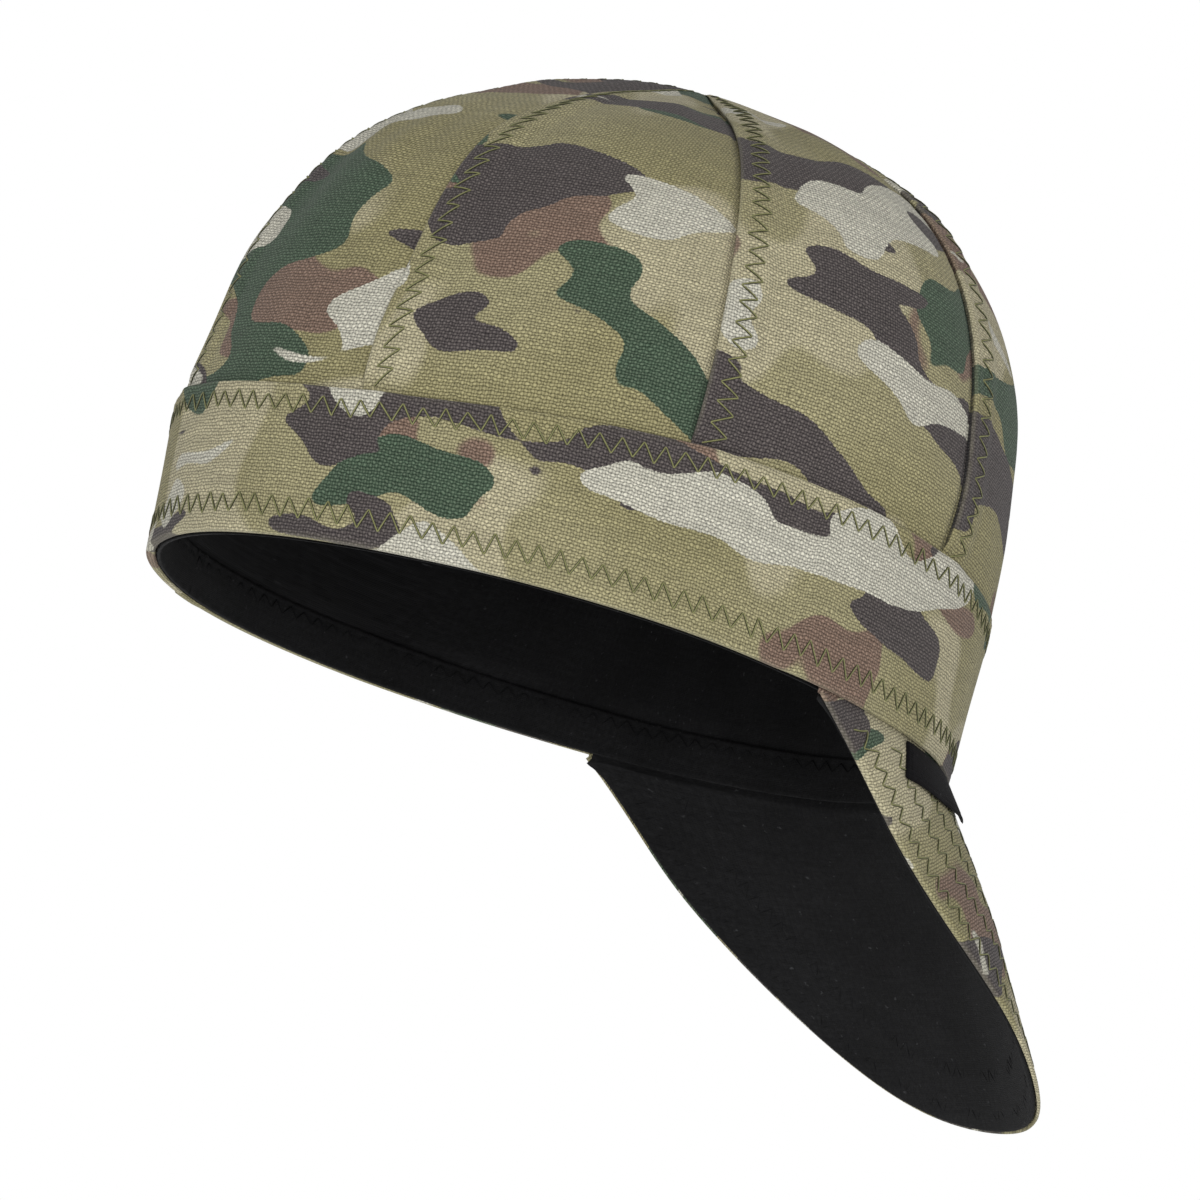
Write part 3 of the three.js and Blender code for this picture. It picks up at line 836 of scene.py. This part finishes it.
def headband():
    angle = RING[:, None]
    height = band_height(angle)
    level = 0 * height
    from_front = np.abs(np.mod(angle + 180, 360) - 180)
    lip = 1.0 + 1.25 * smooth(BILL_CORNER + 4, BILL_CORNER + 8, from_front)
    low_up = np.array([1.1, 0.5, 0.12, 0.0, 0.0, 0.08, 0.26, 0.55])
    low_share = np.array([1.0, 1.0, 0.85, 0.5, 0, 0, 0, 0])
    low_depth = 0.55 + (lip - 0.55) * low_share - np.array([0, 0, 0, 0, 0, 0.27, 0.47, 0.55])
    wall_up = 0.55 + (height - 1.0) * np.linspace(0, 1, 34)[1:-1]
    top_down = np.array([0.45, 0.13, 0.0, 0.13, 0.45])
    top_depth = np.array([0.0, 0.13, 0.45, 0.77, 0.90])
    up = np.concatenate([low_up + level, wall_up, height - top_down], 1)
    depth = np.concatenate([low_depth, 0 * wall_up, top_depth + level], 1)
    grid = np.broadcast_to(angle, up.shape)
    outer = band_grid(grid, up, depth)

    inner_rows = np.linspace(0, 1, up.shape[1] - 2)
    inner_up = np.concatenate([np.array([1.15, 1.3]) + level, 1.6 + (height - 2.2) * inner_rows], 1)
    inner_depth = np.full(inner_up.shape, 0.95)
    inner_depth[:, 0], inner_depth[:, 1] = lip[:, 0], (lip[:, 0] + 0.95) / 2
    inner = band_grid(grid, inner_up, inner_depth)
    lengths = travelled(outer)
    uv = np.stack([np.broadcast_to(RING_LENGTHS[:, None], lengths.shape), lengths], -1) + BAND_ON_CLOTH
    wear = 0.55 * bell(up, 0.5) + 0.35 * bell(height - up, 0.45)
    made = cloth_piece("cloth_headband", outer, inner, uv, CANVAS_FINISH, "headband", True, wear)
    top, low = zigzag(0, RING_LENGTH, *BAND_TOP_ZIGZAG), zigzag(0, RING_LENGTH, *BAND_LOW_ZIGZAG, 0.64)
    threads = [
        stitches("stitches_band_top", top, sewn_band_top, OLIVE_THREAD, 201),
        stitches("stitches_band_low", low, sewn_band, OLIVE_THREAD, 202),
        stitches("stitches_lap", zigzag(1.5, 40.0, 2.0, 5.6), sewn_lap, OLIVE_THREAD, 203),
    ]
    declare(outer)


headband()


# Lining and hem

def crown_lining():
    angle = ring_angles(2.6)[0][:, None]
    foot_row = -1 + (HEM_HEIGHT - LINING_TUCK - PANEL_FOOT) / (band_height(angle) - PANEL_FOOT)
    low, high = np.linspace(0, 0.85, 12), np.linspace(1, 9.95, 76)
    row = np.concatenate([foot_row * (1 - low), 0 * angle + high - 1], 1)
    row = np.minimum(row, LAST_ROW - 0.02)
    grid = np.broadcast_to(angle, row.shape)
    base, normal = crown_base(grid, row), crown_normal(grid, row)
    spread = np.hypot(base[..., 0], base[..., 1] + APEX_FORWARD)
    near_seam = np.min([np.abs(np.mod(grid - seam + 180, 360) - 180) for seam in SEAMS], 0)
    from_seam = near_seam * spread * np.pi / 180
    sag = 0.35 + 0.45 * soft_noise(base, 46, 31) + 0.16 * soft_noise(base, 17, 32)
    sag = np.maximum(sag * (1 - 0.7 * bell(from_seam, 3.0)), 0) * smooth(4, 30, spread)
    sag = np.clip(sag + 0.35 * bell(from_seam - 1.6, 1.0), 0, 1.6)
    above_rim = PANEL_FOOT + (1 + row) * (band_height(grid) - PANEL_FOOT)
    behind_hem = 1 - smooth(HEM_HEIGHT - 0.2, HEM_HEIGHT + 2.5, above_rim)
    depth = LINING_INSET - PANEL_INSET + 0.1 - 0.6 * behind_hem
    outer = base - normal * depth[..., None]
    inner = base - normal * (depth + LINING_THICKNESS + sag * (1 - behind_hem))[..., None]
    lengths = travelled(outer)
    uv = np.stack([np.radians(np.mod(grid, 360.0)) * spread, lengths], -1)
    for layer in (outer, inner):
        layer[:, -1] = layer[:, -1].mean(0)
    made = cloth_piece("cloth_lining", outer, inner, uv, BLACK_FINISH, "crown_lining", ring=True)
    declare(inner)


def rim_hem():
    angle = RING[:, None]
    depth_out, depth_in = LINING_INSET + 0.1, LINING_INSET + 1.15
    low, high = [0.3, 0.05, 0.0, 0.1, 0.35, 1.2, 2.2, 3.4, 4.5, 5.6], [6.8, 8.0, 9.2, 10.2, 11.0, 11.6, 11.9]
    up = np.array([*low, *high, HEM_HEIGHT])
    depth = np.full(len(up), depth_in)
    depth[:5] = depth_out + (depth_in - depth_out) * np.array([0.0, 0.25, 0.55, 0.85, 0.97])
    depth[-4:] = depth_out + (depth_in - depth_out) * np.array([0.99, 0.92, 0.72, 0.35])
    place = RING_LENGTHS[:, None]
    ripple = puckers(place)
    sunk = 0.16 * (bell(up - 10.2, 0.7) + bell(up - 2.2, 0.8))
    puffed = 0.16 * ripple * (bell(up - 11.4, 1.0) + bell(up - 1.0, 1.0)) + 0.12 * np.sin(place / 9.0)
    inward = depth[None, :] - sunk[None, :] + puffed
    grid = np.broadcast_to(angle, inward.shape)
    ups = np.broadcast_to(up[None, :], inward.shape)

    def layer(depths):
        return wall_point(grid, ups) - band_out(grid) * depths[..., None]

    inner = layer(inward)
    outer = layer(np.full(inward.shape, depth_out))
    uv = np.stack(np.broadcast_arrays(place, ups), -1) + HEM_ON_CLOTH
    made = cloth_piece("cloth_rim_hem", inner, outer, uv, BLACK_FINISH, "rim_hem", ring=True)

    def sewn(along, height):
        at = ring_angle(along)
        return wall_point(at, height, depth_in - 0.06), -band_out(at)

    corners = zigzag(0, RING_LENGTH, 8.0, 10.6)
    thread = stitches("stitches_hem", corners, sewn, BLACK_THREAD, 301, HEM_THREAD_RADIUS)
    declare(inner)


crown_lining()
rim_hem()


# Bill

BILL_STEPS = len(BILL_SECTIONS) - 1
BILL_KNOTS = np.arange(2 * BILL_STEPS + 1.0)
BILL_SLOPES = slope_matrix(BILL_KNOTS)
BILL_TABLE = np.concatenate([BILL_SECTIONS, BILL_SECTIONS[-2::-1] * (-1, 1, 1)])


def bill_edge(angle):
    place = BILL_STEPS * (1 - np.asarray(angle) / BILL_CORNER)
    across, forward, drop = (hermite(BILL_KNOTS, BILL_TABLE[:, k], BILL_SLOPES @ BILL_TABLE[:, k], place)
                             for k in range(3))
    corner = oval(RIM_LENGTH, RIM_WIDTH, BILL_CORNER, rim_z(BILL_CORNER) - BILL_TURN_DROP)
    place = -BILL_HALF_WIDTH * across, corner[1] - BILL_REACH * forward, corner[2] - BILL_DROP * drop
    return np.stack(place, -1)


def bill_root(angle, inset, lift):
    return oval(RIM_LENGTH, RIM_WIDTH, angle, rim_z(angle) + lift, inset)


def bill_face(angle, share):
    root = bill_root(angle, PANEL_INSET, -BILL_TURN_DROP)
    return root + (bill_edge(angle) - root) * np.asarray(share)[..., None]


def bill_normal(angle, share):
    held = np.clip(angle, -BILL_CORNER + 1, BILL_CORNER - 1)
    across = bill_face(held + 1, share) - bill_face(held - 1, share)
    down = bill_face(held, np.ones_like(share)) - bill_face(held, np.zeros_like(share))
    return unit(np.cross(across, down))


def bill_length(angle):
    return apart(bill_face(angle, np.zeros_like(angle)), bill_face(angle, np.ones_like(angle)))


class BillEdge:
    """True distances from the bill's edge, found along the ruling lines."""

    def __init__(self):
        self.angles = np.linspace(-BILL_CORNER, BILL_CORNER, 541)
        self.edge = bill_edge(self.angles)
        self.columns = self.angles[::4]
        self.shares = np.linspace(0, 1, 61)
        grid = bill_face(*np.meshgrid(self.columns, self.shares, indexing="ij"))
        far = apart(grid[:, :, None], self.edge[None, None])
        self.distance = far.min(-1)
        self.distance[:, -1] = 0
        self.tables = np.stack([self.distance, travelled(self.edge)[far.argmin(-1)]])

    def contour(self, distance):
        """Edge positions, angles and shares along the line at that distance from the edge."""
        angles = np.linspace(-BILL_CORNER + 0.3, BILL_CORNER - 0.3, 601)
        deepest, _ = self.at(angles, np.zeros_like(angles))
        angles = angles[deepest > distance + 1.6]
        found = [np.interp(-distance, -row, self.shares) for row in self.distance]
        shares = np.interp(angles, self.columns, found)
        _, nearest = self.at(angles, shares)
        order = np.argsort(nearest, kind="stable")
        return nearest[order], angles[order], shares[order]

    def at(self, angle, share):
        """Distance from the edge, and the nearest place along it, from between the tables' entries."""
        last_column, last_row = len(self.columns) - 1, len(self.shares) - 1
        a = np.clip((angle + BILL_CORNER) / (2 * BILL_CORNER) * last_column, 0, last_column - 0.001)
        s = np.clip(share * last_row, 0, last_row - 0.001)
        i, j = a.astype(int), s.astype(int)
        fa, fs = a - i, s - j
        low = self.tables[:, i, j] * (1 - fs) + self.tables[:, i, j + 1] * fs
        high = self.tables[:, i + 1, j] * (1 - fs) + self.tables[:, i + 1, j + 1] * fs
        return low * (1 - fa) + high * fa


EDGE = BillEdge()


def bill_relief(angle, share):
    """Height of the bill's outer face: its bulge, ridges between the stitch rows and soft waves."""
    fade = 1 - (angle / BILL_CORNER) ** 2
    held = np.clip(share, 0, 1)
    height = BILL_BULGE * fade * np.sin(np.pi * held)
    distance, nearest = EDGE.at(angle, held)
    pucker = puckers(nearest)
    for place in BILL_ZIGZAG_ROWS:
        height -= 0.16 * bell(distance - place - BILL_ZIGZAG_WIDTH / 2, 2.3) * smooth(0, 6, distance + 4)
        height += 0.06 * pucker * bell(distance - place - 6.5, 2.0)
    base = bill_face(angle, held)
    waves = 0.55 * soft_noise(base, 70, 51) + 0.12 * soft_noise(base, 22, 52)
    return height + waves * np.sin(np.pi * held) ** 0.5 * smooth(0, 0.4, fade)


def bill_point(angle, share, depth):
    share = np.asarray(share)
    inside = np.clip(share, 0, 1)
    height = bill_relief(angle, inside) - depth
    point = bill_face(angle, inside) + bill_normal(angle, inside) * height[..., None]
    tucked = bill_root(angle, PANEL_INSET + np.maximum(depth, 0), BILL_TUCK)
    lift = np.clip(-share, 0, 1)[..., None]
    return point + (tucked - point) * lift


def bill_grid_angles(count):
    """Columns that crowd towards the corners, where the edge turns."""
    t = np.linspace(-1, 1, count)
    return BILL_CORNER * np.sin(t * np.pi / 2 * 0.82) / np.sin(np.pi / 2 * 0.82)


def meeting(first, second, from_first, from_second, side):
    """Point at given distances from two points of a plane, on one side of the line between them."""
    between = apart(first, second)
    ahead = (second - first) / between
    along = (from_first**2 - from_second**2 + between**2) / (2 * between)
    off = np.sqrt(max(from_first**2 - along**2, 0.0)) * side
    return first + ahead * along + np.array([-ahead[1], ahead[0]]) * off


def unrolled(roots, edges):
    """Lays the strips between successive root-to-edge lines flat, side by side from the middle outward."""
    count = len(roots)
    flat_roots, flat_edges = np.zeros((count, 2)), np.zeros((count, 2))
    middle = count // 2
    flat_edges[middle] = 0, -apart(edges[middle], roots[middle])
    for side, targets in ((1, range(middle + 1, count)), (-1, range(middle - 1, -1, -1))):
        for new in targets:
            old = new - side
            flat_edges[new] = meeting(flat_roots[old], flat_edges[old], apart(roots[old], edges[new]),
                                      apart(edges[old], edges[new]), side)
            flat_roots[new] = meeting(flat_roots[old], flat_edges[new], apart(roots[old], roots[new]),
                                      apart(edges[new], roots[new]), side)
    return flat_roots, flat_edges


# Thread, depth under the outer face, side of the cloth, first seed and radius of the rows on each face
ROWS_ABOVE = ("upper", OLIVE_THREAD, 0.0, 1, 400, THREAD_RADIUS)
ROWS_BELOW = ("under", BLACK_THREAD, 2.12, -1, 450, UNDER_THREAD_RADIUS)


def bill_rows(distances, face, thread, depth, sign, seed, radius):
    """Concentric zigzag rows, at distances in from the bill's edge."""
    made = []
    for number, distance in enumerate(distances):
        near, far = EDGE.contour(distance), EDGE.contour(distance + BILL_ZIGZAG_WIDTH)
        start, end = max(near[0][0], far[0][0]) + 1.0, min(near[0][-1], far[0][-1]) - 1.0

        def sewn(along, off):
            angle, share = (
                (1 - off) * np.interp(along, near[0], near[k]) + off * np.interp(along, far[0], far[k])
                for k in (1, 2))
            return bill_point(angle, share, np.full(angle.shape, depth)), sign * bill_normal(angle, share)

        made.append(stitches(f"stitches_bill_{face}_{number + 1}", zigzag(start, end, 0, 1), sewn, thread,
                             seed + number, radius, (0.2, 0.04)))
    return made


# Shares of the rows that climb behind the band, above the bill's root
TUCKED_ROWS = np.array([-1.0, -0.6, -0.25])


def bill_upper():
    angle = bill_grid_angles(171)[:, None]
    length = np.maximum(bill_length(angle), 1.3)
    reach = np.array([1.2, 0.62, 0.32, 0.1, 0.0, 0.06])
    drop = np.array([0.0, 0.1, 0.28, 0.6, 0.9, 1.15])
    turned = len(reach)
    rows = np.linspace(0, 1, 62) * (1 - 1.8 / np.maximum(length, 3.6))
    edge_share = 1 - np.minimum(reach / length, 0.45 * reach / reach[0])
    share = np.concatenate([TUCKED_ROWS + 0 * length, rows, edge_share], 1)
    depth = np.concatenate([0 * share[:, :-turned], drop + 0 * length], 1)
    grid = np.broadcast_to(angle, share.shape)
    outer = bill_point(grid, share, depth)
    last_step = edge_share[:, :1] - share[:, -turned - 1:-turned]
    inner_edge = edge_share[:, :1] - 0.6 * last_step * np.linspace(1, 0, turned)
    inner_share = np.concatenate([share[:, :-turned], inner_edge], 1)
    inner = bill_point(grid, inner_share, np.full(share.shape, 0.75))
    root = len(TUCKED_ROWS)
    lengths = travelled(outer)
    lengths -= lengths[:, root:root + 1]
    flat_roots, flat_edges = unrolled(outer[:, root], bill_edge(angle[:, 0]))
    uv = flat_roots[:, None] + unit(flat_edges - flat_roots)[:, None] * lengths[..., None] + BILL_ON_CLOTH
    wear = 0.6 * bell((1 - share) * length, 0.5) * (share > 0.5)
    made = cloth_piece("cloth_bill_upper", outer, inner, uv, CANVAS_FINISH, "bill_upper", wear=wear)
    threads = bill_rows(BILL_ZIGZAG_ROWS, *ROWS_ABOVE)
    declare(outer)


def bill_under():
    angle = (bill_grid_angles(161) * 0.992)[:, None]
    length = bill_length(angle)
    short = np.minimum(1, length / 6)
    reach = np.array([2.2, 1.5, 1.15, 0.95, 0.85, 0.85]) * short
    rise = np.array([0.0, 0.02, 0.1, 0.28, 0.5, 0.75])
    start = 0.4 * short / length
    edge_share = 1 - reach / length
    rows = start + (edge_share[:, :1] - start - 1.4 * short / length) * np.linspace(0, 1, 58)
    share = np.concatenate([rows, edge_share], 1)
    grid = np.broadcast_to(angle, share.shape)
    distance, nearest = EDGE.at(grid, share)
    border = 0.35 * (1 - smooth(15.5, 18.0, distance))
    pucker = puckers(nearest)
    from_rows = [distance - place - BILL_ZIGZAG_WIDTH / 2 for place in BILL_ZIGZAG_ROWS]
    sewn = sum(0.09 * pucker * bell(away, 3.0) - 0.14 * bell(away, 1.6) for away in from_rows)
    base = bill_face(grid, share)
    creased = 0.30 * (soft_noise(base, 30, 61) + 0.5 * soft_noise(base, 11, 62))
    creased *= (1 - smooth(0.1, 0.75, share)) * smooth(0.0, 0.05, share)
    depth = 2.15 + border * 0.5 + sewn + creased
    depth[:, -len(rise):] -= rise * 0.9

    def layer(inset, depths):
        """The face's points, after rows that climb behind the hem from the bill's root."""
        tucked = np.stack([bill_root(angle[:, 0], inset, lift) for lift in (0.9, 0.2, -0.5)], 1)
        return np.concatenate([tucked, bill_point(grid, share, depths)], 1)

    upper = layer(2.12, np.full(share.shape, 1.35))
    lower = layer(2.6, np.maximum(depth, 1.4))
    uv = np.stack([lower[..., 0], travelled(lower)], -1) + BILL_UNDER_ON_CLOTH
    made = cloth_piece("cloth_bill_under", lower, upper, uv, BLACK_FINISH, "bill_under")
    threads = bill_rows(BILL_ZIGZAG_ROWS[:2], *ROWS_BELOW)
    declare(lower)


bill_upper()
bill_under()


# Label tab: an unprinted folded strip of tape

def label_tab():
    columns, rows = 61, 22
    angle = np.linspace(LABEL_BACK, LABEL_FRONT, columns)[:, None]
    front = np.linspace(0, 1, columns)[:, None]
    share = np.linspace(0, 1, rows)
    side = np.minimum(front, 1 - front) * 40
    end = (1 - share) * LABEL_DROP
    grid = np.broadcast_to(angle, (columns, rows))
    along = (LABEL_START + LABEL_DROP * share) / bill_length(angle)
    bulge = BILL_BULGE * (1 - (grid / BILL_CORNER) ** 2) * np.sin(np.pi * along)
    curl = LABEL_LIFT * front * share + 0.25 * np.sin(front * 9.0) * share
    lift = 0.45 + curl + bulge
    rounding = 0.28 * (bell(side, 0.35) + bell(end, 0.35))
    border = 0.12 * (bell(side - 1.3, 0.4) + bell(end - 1.3, 0.4))
    face, normal = bill_face(grid, along), bill_normal(grid, along)
    outer = face + normal * (lift + 0.75 - rounding - border)[..., None]
    inner = face + normal * (lift + np.minimum(rounding * 0.6, 0.3))[..., None]
    uv = np.stack(np.broadcast_arrays(front * 42, share * LABEL_DROP), -1)
    made = cloth_piece("cloth_label", outer, inner, uv, LABEL_FINISH, "label_tab")
    declare(outer)


label_tab()


# Camera, at the photograph's angle

CAMERA_TURNS = (-108.349, -13.789, 13.964)
CAMERA_DISTANCE = 0.85
CAMERA_TARGET = np.array([-0.122, -7.524, 22.353]) * MM
LENS = 102.875


def aim():
    """Directions to the picture's right, up and back to the camera."""
    azimuth, elevation, roll = np.radians(CAMERA_TURNS)
    level_back = np.sin(azimuth), -np.cos(azimuth)
    back = np.array([*np.multiply(level_back, np.cos(elevation)), np.sin(elevation)])
    level = unit(np.cross(-back, [0, 0, 1.0]))
    rise = np.cross(level, -back)
    right = level * np.cos(roll) + rise * np.sin(roll)
    up = -level * np.sin(roll) + rise * np.cos(roll)
    return right, up, back


RIGHT, UP, BACK = aim()
LAMP_TARGET = np.array([0, 0, 0.05])
# Each square lamp's metres to the picture's right, up and back to the camera, then its size and watts
LAMPS = {
    "key": ((0.12, 0.35, 1.35), 0.5, 8.6),
    "fill": ((0.9, -0.3, 0.9), 0.8, 0.3),
    "behind": ((0.0, 0.0, -1.3), 0.6, 4.0),
}
FLOOR_REACH = 300.0
FLOOR_HEIGHT = -0.70
WHITE = (1, 1, 1, 1)


def placed(name, data):
    made = bpy.data.objects.new(name, data)
    bpy.context.scene.collection.objects.link(made)
    return made


def place_camera():
    data = bpy.data.cameras.new("camera")
    data.lens, data.sensor_width, data.sensor_fit = LENS, 36.0, "HORIZONTAL"
    data.clip_start, data.clip_end = 0.05, 500.0
    camera = placed("camera", data)
    turned = Matrix(np.stack([RIGHT, UP, BACK], 1).tolist()).to_4x4()
    camera.matrix_world = Matrix.Translation(Vector(CAMERA_TARGET + BACK * CAMERA_DISTANCE)) @ turned
    bpy.context.scene.camera = camera


def place_lamps():
    for name, (offset, size, watts) in LAMPS.items():
        data = bpy.data.lights.new(name, "AREA")
        data.size, data.energy = size, watts
        lamp = placed(name, data)
        place = LAMP_TARGET + RIGHT * offset[0] + UP * offset[1] + BACK * offset[2]
        lamp.location = Vector(place)
        lamp.rotation_euler = Vector(LAMP_TARGET - place).to_track_quat("-Z", "Y").to_euler()
        lamp.visible_camera = False


def make_world():
    """White to the camera, and a softer white light on the cap."""
    world = bpy.data.worlds.new("studio")
    world.use_nodes = True
    bpy.context.scene.world = world
    tree = world.node_tree
    backdrop = tree.nodes["Background"]
    backdrop.inputs["Color"].default_value = WHITE
    backdrop.inputs["Strength"].default_value = 1.0
    soft = wire(tree, "ShaderNodeBackground", {"Color": WHITE, "Strength": 0.43})
    seen = wire(tree, "ShaderNodeLightPath", None, "Is Camera Ray")
    both = wire(tree, "ShaderNodeMixShader", {0: seen, 1: soft, 2: Wire(backdrop.outputs[0])})
    both.to(tree.nodes["World Output"].inputs["Surface"])


def place_floor():
    """A plain pale floor. What the camera sees of it is lifted to near white, more so far away."""
    material = bpy.data.materials.new("floor")
    material.use_nodes = True
    tree = material.node_tree
    shader = tree.nodes["Principled BSDF"]
    shader.inputs["Roughness"].default_value = 0.9
    shader.inputs["Emission Color"].default_value = WHITE
    place = wire(tree, "ShaderNodeTexCoord", None, "Object")
    grain = place.noise(6.0, 2.0, dimensions="3D")
    grain.mix((0.90, 0.90, 0.89, 1), (0.93, 0.93, 0.92, 1)).to(shader.inputs["Base Color"])
    reach = wire(tree, "ShaderNodeVectorMath", {0: place}, "Value", operation="LENGTH")
    glow = reach.mapped(1.0, 6.0, 0.21, 0.36, curve="SMOOTHSTEP")
    seen = wire(tree, "ShaderNodeLightPath", None, "Is Camera Ray")
    # The floor glows a little for every ray, which lights the cap from below, and more for camera rays
    (seen * glow + 0.33).to(shader.inputs["Emission Strength"])
    mesh = bpy.data.meshes.new("floor")
    corners = [(x * FLOOR_REACH, y * FLOOR_REACH, 0) for x, y in ((-1, -1), (1, -1), (1, 1), (-1, 1))]
    mesh.from_pydata(corners, [], [(0, 1, 2, 3)])
    mesh.materials.append(material)
    floor = placed("floor", mesh)
    floor.location = (0, 0, FLOOR_HEIGHT)


place_camera()
place_lamps()
make_world()
place_floor()
bpy.context.scene.view_settings.view_transform = "Standard"
